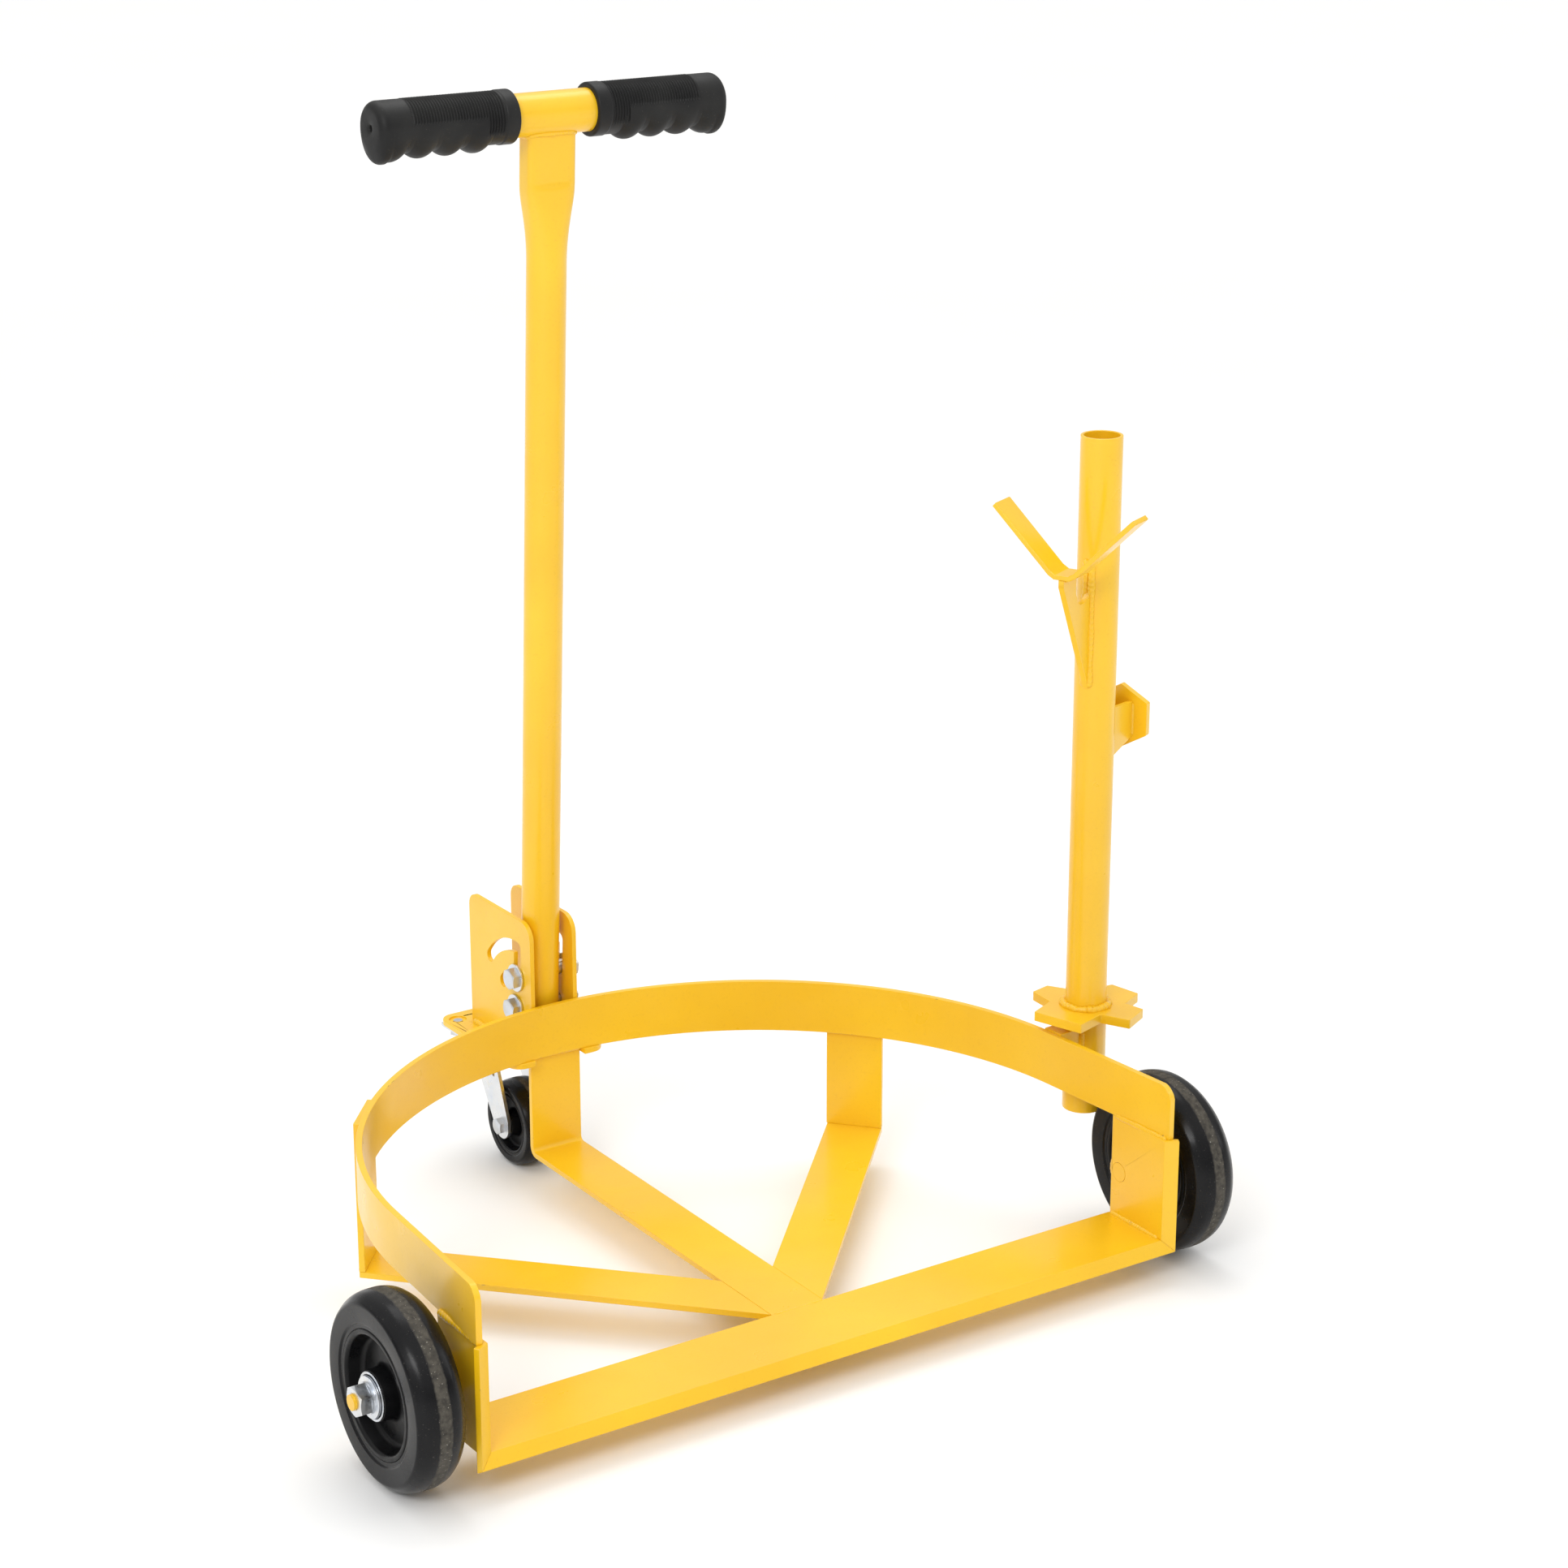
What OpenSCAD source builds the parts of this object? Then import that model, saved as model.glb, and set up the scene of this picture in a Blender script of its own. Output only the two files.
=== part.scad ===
// Low drum dolly: an open ring frame on two front wheels and one rear swivel caster,
// with a slotted fold-back handle and a lift-out bung tool in a side socket.
// Units are millimetres. +Z is up, +Y points to the handle and the caster, X runs along the wheels.

/* [Ring and deck] */
// inner radius of the ring that takes the drum
ring_radius = 305; // [290:1:320]
// height of the ring band
band_height = 45; // [30:1:70]
// height of the ring band's lower edge above the floor
band_bottom = 123; // [110:1:140]
// thickness of all frame plate
plate = 5; // [4:0.5:8]
// height of the deck bars' top face above the floor
deck_top = 36; // [30:1:45]
// width of each deck bar
bar_width = 48; // [35:1:60]

/* [Front wheels] */
// radius of the two front wheels
wheel_radius = 75; // [60:1:80]
// width of the front wheels' hub
hub_width = 40; // [32:1:48]
// distance from the middle of the dolly to the middle of each front wheel
wheel_reach = 355; // [350:1:370]
// radius of the front axles
axle_radius = 8; // [6:0.5:10]
// radius of the axles' threaded ends
thread_radius = 6; // [5:0.5:8]

/* [Caster] */
// radius of the caster wheel
caster_radius = 38; // [32:1:45]
// width of the caster wheel's tread
caster_width = 32; // [24:1:34]
// how far the caster's axle trails its swivel
caster_trail = 30; // [20:1:35]

/* [Handle] */
// outer radius of the handle tube
tube_radius = 16; // [14:0.5:17]
// distance from the pivot bolt up to the middle of the cross tube
handle_length = 758; // [600:1:900]
// forward lean of the locked handle, in degrees
lean = 3.4; // [0:0.2:5]
// how far the handle lifts to free its lock bolt
lock_lift = 27; // [20:1:30]
// how far the freed handle tips back, in degrees
tip_back = 56; // [30:1:58]

/* [Bung tool] */
// height of the tool tube's open top above the floor
tool_top = 668; // [500:1:700]
// turn of the tool in its socket, in degrees
tool_turn = 25.5; // [0:0.5:90]

/* [Fits] */
// radial clearance of running fits
running = 0.06; // [0.02:0.01:0.1]
// gap between parts that move past each other
gap = 0.4; // [0.3:0.1:1]

/* [Hidden] */

yellow = [0.98, 0.78, 0.14];
zinc = [0.78, 0.79, 0.80];
black = [0.08, 0.08, 0.085];
brown = [0.55, 0.42, 0.2];

far = 400;
ring_outer = ring_radius + plate;
deck_low = deck_top - plate;
arc_half = 86;
end_turn = 90 - arc_half;
end_length = 144.7;
corner = 14;
mouth_y = -57;
bend_y = -123;
web_x = 310;
axle_y = -67;
axle_z = wheel_radius;

bar_turn = 43.4;
tab_turn = 49.2;
hub_y = -46.3;

base_x = 45;
base_front = 301;
base_back = 435;
base_top = band_bottom;
wall_in = 18.5;
wall_t = 4;
wall_front = 310;
wall_back = 414;
wall_top = 241;
pivot_y = 335;
pivot_z = 160;
bolt_rise = 28;
bolt_r = 5;
slot_half = bolt_r + gap;
outer_track = bolt_rise + lock_lift;

cast_y = 400;
cast_axle_y = cast_y - caster_trail;
cast_axle_z = caster_radius;
top_plate_top = base_top - plate;

cross_r = 17;
grip_r = 20.5;
grip_in = 35;
grip_out = 155;
cross_half = 150;

socket_x = 346;
socket_y = 26;
socket_r = 17.5;
peg_r = 13.5;
socket_top = 176;
star_low = socket_top + gap;
star_t = 8;
tool_r = 17;

hex_reach = socket_x + 56 * cos(tool_turn) + 27.5 * cos(30) * sin(tool_turn);
axle_tip = wheel_reach + hub_width / 2 + 17;
shift_x = -(hex_reach - axle_tip) / 2;
shift_y = -(base_back + axle_y - wheel_radius) / 2;

module place() translate([shift_x, shift_y, 0]) children();

// points on an arc, in degrees from a0 to a1
function arc(cx, cy, r, a0, a1, n) =
  [for (i = [0 : n]) let (a = a0 + (a1 - a0) * i / n) [cx + r * cos(a), cy + r * sin(a)]];

// a closed band slot that follows a circle about the origin, with round ends
function track(r, h, a0, a1, n) = concat(
  arc(0, 0, r + h, a0, a1, n),
  arc(r * cos(a1), r * sin(a1), h, a1, a1 + 180, 12),
  arc(0, 0, r - h, a1, a0, n),
  arc(r * cos(a0), r * sin(a0), h, a0 + 180, a0 + 360, 12));

// a profile drawn in Y and Z, extruded along +X
module along_x(x, t) translate([x, 0, 0]) rotate([90, 0, 90]) linear_extrude(t) children();

// a straight cylinder along X
module rod_x(x, y, z, r, l) translate([x, y, z]) rotate([0, 90, 0]) cylinder(r = r, h = l, $fn = 64);

module hex_x(x, y, z, r, l) translate([x, y, z]) rotate([0, 90, 0]) cylinder(r = r, h = l, $fn = 6);

// ---------- frame ----------

// rounds off the top front corner of one end of the band
module band_corner() {
  pts = concat([[-end_length - 1, band_height + 1], [-end_length - 1, band_height - corner]],
    arc(-end_length + corner, band_height - corner, corner + 0.5, 180, 90, 7),
    [[-end_length + corner, band_height + 1]]);
  rotate([0, 0, end_turn]) translate([0, 0, band_bottom])
    along_x(ring_radius - 2, plate + 4) polygon(pts);
}

// the end of the straight run beyond the arc, for one face of the band
function band_tip(r, side) = [side * (r * cos(end_turn) + end_length * sin(end_turn)),
  r * sin(end_turn) - end_length * cos(end_turn)];

module ring_band() color(yellow) difference() {
  translate([0, 0, band_bottom]) linear_extrude(band_height) polygon(concat(
    [band_tip(ring_outer, 1)], arc(0, 0, ring_outer, end_turn, 180 - end_turn, 86),
    [band_tip(ring_outer, -1), band_tip(ring_radius, -1)],
    arc(0, 0, ring_radius, 180 - end_turn, end_turn, 86), [band_tip(ring_radius, 1)]));
  band_corner();
  mirror([1, 0, 0]) band_corner();
}

lip_profile = [[mouth_y, 0], [bend_y, 0], [bend_y - 6, -10.4], [bend_y - 1.67, -12.9],
  [bend_y + 2.9, -plate], [mouth_y, -plate]];

module mitre(side) translate([web_x, 0, deck_top]) rotate([0, -45, 0])
  translate([side > 0 ? 0 : -80, -300, -80]) cube([80, 400, 160]);

module front_crossbar() color(yellow) difference() {
  along_x(-web_x - 20, 2 * web_x + 40) translate([0, deck_top]) polygon(lip_profile);
  mitre(1);
  mirror([1, 0, 0]) mitre(1);
}

module side_plate() difference() {
  translate([0, 0, 15]) linear_extrude(band_bottom - 15)
    polygon([for (p = lip_profile) [web_x - p[1], p[0]]]);
  mitre(-1);
  rod_x(web_x - 5, axle_y, axle_z, axle_radius, 20);
}

module left_side_plate() color(yellow) mirror([1, 0, 0]) side_plate();
module right_side_plate() color(yellow) side_plate();

module center_spoke() color(yellow) along_x(-bar_width / 2, bar_width)
  polygon(concat([[mouth_y, deck_low]],
    arc(ring_outer + plate - 9, deck_low + 9, 9, -90, 0, 4),
    [[ring_outer + plate, band_bottom], [ring_outer, band_bottom]],
    arc(ring_outer - 4, deck_top + 4, 4, 0, -90, 3),
    [[mouth_y, deck_top]]));

// a deck bar from the middle bar out to the ring, with an upturned end welded to the band
module side_spoke() {
  difference() {
    translate([0, hub_y, deck_low]) rotate([0, 0, -bar_turn])
      translate([-bar_width / 2, -60, 0]) cube([bar_width, 460, plate]);
    translate([-far, -2 * far, 0]) cube([far + bar_width / 2, 4 * far, 100]);
    translate([-far, mouth_y - far, 0]) cube([2 * far, far, 100]);
    rotate([0, 0, -tab_turn]) translate([-far, ring_outer + plate, 0]) cube([2 * far, far, 100]);
  }
  rotate([0, 0, -tab_turn]) translate([-bar_width / 2 - 0.5, ring_outer + 0.05, deck_top])
    cube([bar_width + 1, plate - 0.05, band_bottom + band_height - deck_top - 4]);
}

module left_spoke() color(yellow) mirror([1, 0, 0]) side_spoke();
module right_spoke() color(yellow) side_spoke();

module bracket_base_plate() color(yellow) difference() {
  c = 12;
  translate([0, 0, base_top - plate]) linear_extrude(plate) polygon(concat(
    arc(base_x - c, base_back - c, c, 0, 90, 6), arc(-base_x + c, base_back - c, c, 90, 180, 6),
    arc(-base_x + c, base_front + c, c, 180, 270, 6),
    [[-bar_width / 2, base_front], [-bar_width / 2, ring_outer + plate],
      [bar_width / 2, ring_outer + plate], [bar_width / 2, base_front]],
    arc(base_x - c, base_front + c, c, 270, 360, 6)));
  for (x = [-33, 33], y = [cast_y - 21, cast_y + 21]) {
    translate([x, y, base_top - 10]) cylinder(r = 4.05, h = 20, $fn = 48);
    translate([x, y, base_top - 2]) cylinder(r = 7.5, h = 4, $fn = 48);
  }
}

// one wall of the handle bracket, with the lock bolt's slots and the pivot bolt's hole
module bracket_wall(x) difference() {
  c1 = 15;
  c2 = 11;
  along_x(x, wall_t) polygon(concat([[wall_front, base_top]],
    arc(wall_front + c1, wall_top - c1, c1, 180, 90, 6),
    arc(wall_back - c2, wall_top - c2, c2, 90, 0, 6), [[wall_back, base_top]]));
  rod_x(x - 1, pivot_y, pivot_z, bolt_r + running, wall_t + 2);
  translate([0, pivot_y, pivot_z]) rotate([lean, 0, 0]) {
    along_x(x - 1, wall_t + 2) polygon(track(outer_track, slot_half, 90 - tip_back, 90, 14));
    along_x(x - 1, wall_t + 2) polygon(track(bolt_rise, slot_half, 90 - tip_back, 90, 10));
    along_x(x - 1, wall_t + 2) polygon([[-slot_half, bolt_rise], [slot_half, bolt_rise],
      [slot_half, outer_track], [-slot_half, outer_track]]);
  }
}

module left_bracket_plate() color(yellow) bracket_wall(-wall_in - wall_t);
module right_bracket_plate() color(yellow) bracket_wall(wall_in);

module bracket_welds() color(yellow) for (m = [0, 1]) mirror([m, 0, 0])
  translate([0, wall_back - 4, 0]) rotate([90, 0, 0]) linear_extrude(wall_back - wall_front - 14)
    polygon([[wall_in + wall_t, base_top], [wall_in + wall_t + 4.5, base_top],
      [wall_in + wall_t, base_top + 4.5]]);

module tool_socket() color(yellow) translate([socket_x, socket_y, 92]) difference() {
  cylinder(r = socket_r, h = socket_top - 92, $fn = 96);
  translate([0, 0, -1]) cylinder(r = peg_r + 0.1, h = socket_top, $fn = 96);
}

module socket_spacer() color(yellow) difference() {
  rotate([0, 0, end_turn]) translate([ring_outer, -9, 126]) cube([26, 20, 43]);
  translate([socket_x, socket_y, 90]) cylinder(r = socket_r, h = 100, $fn = 96);
}

// ---------- front wheels, drawn on the right ----------

washer_x = wheel_reach + hub_width / 2 + gap;

module axle() {
  rod_x(web_x, axle_y, axle_z, axle_radius, washer_x - web_x);
  rod_x(web_x, axle_y, axle_z, thread_radius, axle_tip - web_x);
  rod_x(web_x + plate, axle_y, axle_z, 14, wheel_reach - hub_width / 2 - gap - web_x - plate);
}

module axle_washer() difference() {
  rod_x(washer_x, axle_y, axle_z, 16, 2.5);
  rod_x(washer_x - 1, axle_y, axle_z, thread_radius, 5);
}

module axle_nut() difference() {
  hex_x(washer_x + 2.5, axle_y, axle_z, 13.9, 10.6);
  rod_x(washer_x, axle_y, axle_z, thread_radius, 20);
}

module left_axle() color(yellow) mirror([1, 0, 0]) axle();
module right_axle() color(yellow) axle();
module left_axle_washer() color(zinc) mirror([1, 0, 0]) axle_washer();
module right_axle_washer() color(zinc) axle_washer();
module left_axle_nut() color(zinc) mirror([1, 0, 0]) axle_nut();
module right_axle_nut() color(zinc) axle_nut();

// turned parts of a wheel: profiles hold radius and distance from the wheel's middle
module turned_x(x, y, z) translate([x, y, z]) rotate([0, 90, 0]) rotate_extrude($fn = 128) children();

module tyre() turned_x(wheel_reach, axle_y, axle_z) polygon([[50, -17], [61, -19],
  [67, -19.5], [71.5, -17], [74, -12.5], [wheel_radius, -6], [wheel_radius, 6], [74, 12.5],
  [71.5, 17], [67, 19.5], [61, 19], [50, 17]]);

module wheel_rim() turned_x(wheel_reach, axle_y, axle_z) polygon([[11, -hub_width / 2],
  [19, -hub_width / 2], [20, -4], [43, -3.5], [45, -17], [50, -17], [50, 17], [45, 17],
  [43, 3.5], [20, 4], [19, hub_width / 2], [11, hub_width / 2]]);

module wheel_bush() turned_x(wheel_reach, axle_y, axle_z)
  translate([axle_radius + running, -hub_width / 2]) square([11 - axle_radius - running, hub_width]);

module left_tyre() color(black) mirror([1, 0, 0]) tyre();
module right_tyre() color(black) tyre();
module left_wheel_rim() color(black) mirror([1, 0, 0]) wheel_rim();
module right_wheel_rim() color(black) wheel_rim();
module left_wheel_bush() color(brown) mirror([1, 0, 0]) wheel_bush();
module right_wheel_bush() color(brown) wheel_bush();

// ---------- caster ----------

race_low = top_plate_top - 8;
crown_top = race_low - 0.5;

module caster_top_plate() color(zinc) difference() {
  translate([-43, cast_y - 33, top_plate_top - 3]) cube([86, 66, 3]);
  for (x = [-33, 33], y = [cast_y - 21, cast_y + 21])
    translate([x, y, top_plate_top - 5]) cylinder(r = 4.05, h = 10, $fn = 48);
  translate([0, cast_y, top_plate_top - 5]) cylinder(r = 6, h = 10, $fn = 48);
}

module ball_groove(z) translate([0, cast_y, z]) rotate_extrude($fn = 96)
  translate([18, 0]) circle(r = 2.5, $fn = 32);

module caster_race() color(zinc) difference() {
  translate([0, cast_y, race_low]) cylinder(r = 24, h = 5, $fn = 96);
  translate([0, cast_y, race_low - 1]) cylinder(r = 6, h = 10, $fn = 48);
  ball_groove(race_low - 0.25);
}

module caster_balls() color(zinc) for (a = [0 : 36 : 324]) translate([0, cast_y, race_low - 0.25])
  rotate([0, 0, a]) translate([18, 0, 0]) sphere(r = 2.43, $fn = 32);

module caster_kingpin() color(zinc) translate([0, cast_y, 0]) {
  translate([0, 0, crown_top - 3.5 - gap]) cylinder(r = 6, h = top_plate_top - crown_top + 3.5 + gap, $fn = 48);
  translate([0, 0, crown_top - 7.5 - gap]) cylinder(r = 10, h = 4, $fn = 48);
}

module caster_plate_bolts() color(zinc) for (x = [-33, 33], y = [cast_y - 21, cast_y + 21])
  translate([x, y, 0]) {
    translate([0, 0, top_plate_top - 3]) cylinder(r = 4, h = 7, $fn = 48);
    translate([0, 0, top_plate_top - 8.3]) cylinder(r = 7.5, h = 5.3, $fn = 6);
  }

module fork_leg(x) difference() {
  along_x(x, 3) polygon(concat([[cast_y - 17, crown_top], [cast_y + 17, crown_top],
    [cast_y + 18, crown_top - 17]], arc(cast_axle_y, cast_axle_z, 12, -18, -162, 8),
    [[cast_axle_y - 11.5, cast_axle_z + 6], [cast_y - 21, crown_top - 12]]));
  rod_x(x - 1, cast_axle_y, cast_axle_z, 4.05, 5);
  translate([x - 1, cast_y - 20, 80]) cube([5, 4, 12]);
}

module caster_fork() color(zinc) {
  difference() {
    union() {
      intersection() {
        translate([0, cast_y, crown_top - 3.5]) cylinder(r = 27, h = 3.5, $fn = 96);
        translate([-18, cast_y - 40, crown_top - 10]) cube([36, 80, 20]);
      }
      fork_leg(-21);
      fork_leg(18);
    }
    translate([0, cast_y, crown_top - 5]) cylinder(r = 6 + running, h = 10, $fn = 48);
    ball_groove(race_low - 0.25);
  }
}

module caster_axle_sleeve() color(zinc) difference() {
  rod_x(-18, cast_axle_y, cast_axle_z, 6.5, 36);
  rod_x(-19, cast_axle_y, cast_axle_z, 4.05, 38);
}

module caster_axle_bolt() color(zinc) {
  rod_x(-21, cast_axle_y, cast_axle_z, 4, 50);
  hex_x(-26.3, cast_axle_y, cast_axle_z, 7.5, 5.3);
}

module caster_axle_nut() color(zinc) difference() {
  hex_x(21, cast_axle_y, cast_axle_z, 7.5, 6.5);
  rod_x(20, cast_axle_y, cast_axle_z, 4.05, 10);
}

module caster_tyre() color(black) turned_x(0, cast_axle_y, cast_axle_z) polygon([[27, -14],
  [33, -15.5], [36, -14.5], [37.5, -10], [caster_radius, -4], [caster_radius, 4], [37.5, 10],
  [36, 14.5], [33, 15.5], [27, 14]]);

module caster_wheel_core() color(black) turned_x(0, cast_axle_y, cast_axle_z) polygon([
  [6.5 + running, -16.5], [11, -16.5], [12, -6], [23, -6], [24, -14], [27, -14], [27, 14], [24, 14],
  [23, 6], [12, 6], [11, 16.5], [6.5 + running, 16.5]]);

// ---------- handle ----------

module at_pivot() translate([0, pivot_y, pivot_z]) rotate([lean, 0, 0]) children();

face_x = wall_in + wall_t + gap;

module cross_bolt(s) at_pivot() {
  rod_x(-face_x - 2, 0, s, bolt_r, 2 * face_x + 15);
  hex_x(-face_x - 8.4, 0, s, 9.8, 6.4);
}

module cross_washers(s) at_pivot() for (x = [-face_x - 2, face_x]) difference() {
  rod_x(x, 0, s, 12, 2);
  rod_x(x - 1, 0, s, bolt_r, 4);
}

module cross_nut(s) at_pivot() difference() {
  hex_x(face_x + 2, 0, s, 9.8, 8.4);
  rod_x(face_x, 0, s, bolt_r, 14);
}

module pivot_bolt() color(zinc) cross_bolt(0);
module pivot_washers() color(zinc) cross_washers(0);
module pivot_nut() color(zinc) cross_nut(0);
module lock_bolt() color(zinc) cross_bolt(bolt_rise);
module lock_washers() color(zinc) cross_washers(bolt_rise);
module lock_nut() color(zinc) cross_nut(bolt_rise);

neck_low = handle_length - 60;

module handle_tube() color(yellow) at_pivot() difference() {
  union() {
    translate([0, 0, -40]) cylinder(r = tube_radius, h = handle_length, $fn = 96);
    intersection() {
      translate([-21.5, -11, neck_low]) cube([43, 22, 60]);
      translate([0, 30, neck_low - 4]) rotate([90, 0, 0]) linear_extrude(60)
        polygon([[-tube_radius, 0], [tube_radius, 0], [21.5, 26], [21.5, 70], [-21.5, 70], [-21.5, 26]]);
    }
  }
  translate([0, 0, -50]) cylinder(r = tube_radius - 2, h = handle_length, $fn = 96);
  rod_x(-30, 0, handle_length, cross_r, 60);
  translate([-40, -40, handle_length]) cube([80, 80, 60]);
  rod_x(-30, 0, bolt_rise, bolt_r, 60);
  along_x(-30, 60) polygon(concat(arc(0, 0, slot_half, 0, 180, 12),
    [[-slot_half, -45], [slot_half, -45]]));
  along_x(-30, 60) polygon([[-30, -45], [-30, -7.3], [3, -32.5], [30, -32.5], [30, -45]]);
}

module handle_crossbar() color(yellow) at_pivot() difference() {
  rod_x(-cross_half, 0, handle_length, cross_r, 2 * cross_half);
  rod_x(-cross_half - 1, 0, handle_length, cross_r - 2.5, 2 * cross_half + 2);
}

module grip() at_pivot() translate([0, 0, handle_length]) difference() {
  union() {
    rod_x(grip_in, 0, 0, grip_r, grip_out - 4 - grip_in);
    translate([grip_out - 4, 0, 0]) rotate([0, 90, 0])
      cylinder(r1 = grip_r, r2 = grip_r - 5, h = 4, $fn = 64);
    for (x = [68, 92, 116, 141]) translate([x, 0, -13]) sphere(r = 12.5, $fn = 48);
  }
  rod_x(grip_in - 1, 0, 0, cross_r, cross_half - grip_in + 1);
  rod_x(cross_half - 5, 0, 0, 2.5, 20);
}

module left_grip() color(black) mirror([1, 0, 0]) grip();
module right_grip() color(black) grip();

// ---------- bung tool ----------

module at_tool(turn) translate([socket_x, socket_y, 0]) rotate([0, 0, turn]) children();

module tool_tube() color(yellow) at_tool(0) translate([0, 0, star_low + star_t]) difference() {
  cylinder(r = tool_r, h = tool_top - star_low - star_t, $fn = 96);
  translate([0, 0, -1]) cylinder(r = tool_r - 2.5, h = tool_top, $fn = 96);
}

module tool_peg() color(yellow) at_tool(0) translate([0, 0, 100])
  cylinder(r = peg_r, h = star_low - 100, $fn = 96);

// four blunt arms of different widths, listed as radius and direction
star_points = [[48, 169], [48, 227], [27, 259], [50, 278], [48.5, 311], [33, 327], [51, 352],
  [50, 385], [29, 422], [50, 452], [50, 474], [30, 497]];

module star_plate() color(yellow) at_tool(0) translate([0, 0, star_low]) linear_extrude(star_t)
  polygon([for (p = star_points) [p[0] * cos(p[1]), p[0] * sin(p[1])]]);

module star_weld() color(yellow) at_tool(0) translate([0, 0, star_low + star_t])
  rotate_extrude($fn = 96) polygon([[tool_r, 0], [tool_r + 5, 0], [tool_r, 5]]);

module fork_strip() color(yellow) at_tool(tool_turn) along_x(-67, 25) polygon([[-62, 616.5],
  [-12, 567], [-7, 564], [7, 564], [12, 567], [62, 616.5], [59.2, 619.5], [10.5, 571],
  [5.5, 568], [-5.5, 568], [-10.5, 571], [-59.2, 619.5]]);

module fork_gusset() color(yellow) difference() {
  at_tool(tool_turn) translate([0, 2.5, 0]) rotate([90, 0, 0]) linear_extrude(5)
    polygon([[-67, 564], [-44, 564], [-44, 548], [-41, 541], [-36, 538], [-29, 537.5], [-22, 540],
      [-15, 547], [-15, 463], [-18, 463], [-67, 558]]);
  at_tool(0) translate([0, 0, 400]) cylinder(r = tool_r, h = 200, $fn = 96);
}

module hex_plate() color(yellow) at_tool(tool_turn) along_x(50, 6) translate([0, 422])
  rotate(30) circle(r = 27.5, $fn = 6);

module hex_ribs() color(yellow) difference() {
  at_tool(tool_turn) for (y = [-11, 7]) translate([0, y + 4, 0]) rotate([90, 0, 0]) linear_extrude(4)
    polygon([[12, 398], [50, 406], [50, 436], [12, 440]]);
  at_tool(0) translate([0, 0, 350]) cylinder(r = tool_r, h = 150, $fn = 96);
}

place() {
  ring_band();
  front_crossbar();
  left_side_plate();
  right_side_plate();
  center_spoke();
  left_spoke();
  right_spoke();
  bracket_base_plate();
  left_bracket_plate();
  right_bracket_plate();
  bracket_welds();
  tool_socket();
  socket_spacer();
  left_axle();
  right_axle();
  left_axle_washer();
  right_axle_washer();
  left_axle_nut();
  right_axle_nut();
  left_tyre();
  right_tyre();
  left_wheel_rim();
  right_wheel_rim();
  left_wheel_bush();
  right_wheel_bush();
  caster_top_plate();
  caster_race();
  caster_balls();
  caster_kingpin();
  caster_plate_bolts();
  caster_fork();
  caster_axle_sleeve();
  caster_axle_bolt();
  caster_axle_nut();
  caster_tyre();
  caster_wheel_core();
  pivot_bolt();
  pivot_washers();
  pivot_nut();
  lock_bolt();
  lock_washers();
  lock_nut();
  handle_tube();
  handle_crossbar();
  left_grip();
  right_grip();
  tool_tube();
  tool_peg();
  star_plate();
  star_weld();
  fork_strip();
  fork_gusset();
  hex_plate();
  hex_ribs();
}
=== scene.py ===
"""Looks of the drum dolly: materials, rubber grips, wheels, fasteners and weld beads around the CAD frame.

Everything is in metres in the row frame. Lengths are written in millimetres and multiplied by MM.
"""

import math
import random

import bmesh
import bpy
from mathutils import Matrix, Vector


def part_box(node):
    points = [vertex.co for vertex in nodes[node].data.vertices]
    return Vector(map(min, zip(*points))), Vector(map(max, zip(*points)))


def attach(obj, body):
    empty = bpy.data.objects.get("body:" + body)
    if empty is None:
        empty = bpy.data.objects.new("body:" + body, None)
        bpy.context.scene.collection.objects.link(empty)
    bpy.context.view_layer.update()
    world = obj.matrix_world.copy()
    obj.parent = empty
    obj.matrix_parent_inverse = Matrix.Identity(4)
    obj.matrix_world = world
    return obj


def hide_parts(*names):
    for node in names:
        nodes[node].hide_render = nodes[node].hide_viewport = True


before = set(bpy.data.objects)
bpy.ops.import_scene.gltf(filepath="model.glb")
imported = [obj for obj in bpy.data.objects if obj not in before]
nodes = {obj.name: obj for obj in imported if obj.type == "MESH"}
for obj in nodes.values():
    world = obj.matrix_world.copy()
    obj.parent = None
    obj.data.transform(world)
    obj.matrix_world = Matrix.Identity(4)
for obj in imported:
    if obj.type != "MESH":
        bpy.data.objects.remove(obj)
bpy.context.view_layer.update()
MM = 0.001
X, Y, Z = Vector((1, 0, 0)), Vector((0, 1, 0)), Vector((0, 0, 1))


def middle(node):
    """The middle of a CAD node's box."""
    low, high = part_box(node)
    return (low + high) / 2


def placed(name, data):
    """A new object in the scene."""
    made = bpy.data.objects.new(name, data)
    bpy.context.scene.collection.objects.link(made)
    return made


# ---------- driving places, from the CAD boxes, and the sizes of bent and round stock ----------

wheels = {side: middle(f"{side}_tyre") for side in ("left", "right")}
wheel_radius = (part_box("left_tyre")[1].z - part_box("left_tyre")[0].z) / 2
mid_x = (wheels["left"].x + wheels["right"].x) / 2
ring_low, ring_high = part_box("ring_band")
ring_outer = 310 * MM
ring_inner = 305 * MM
ring_centre = Vector((mid_x, ring_high.y - ring_outer, 0))
band_bottom, band_top = ring_low.z, ring_high.z
deck_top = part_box("left_spoke")[0].z + 5 * MM
web_x = 310 * MM  # from the middle to each side plate
spoke_turn = 49.2  # degrees from the centre spoke round to each side spoke
mouth_y = ring_centre.y - 57 * MM  # the crossbar's back edge
bend_y = ring_centre.y - 122 * MM  # just behind the bend in the crossbar's front edge

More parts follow.
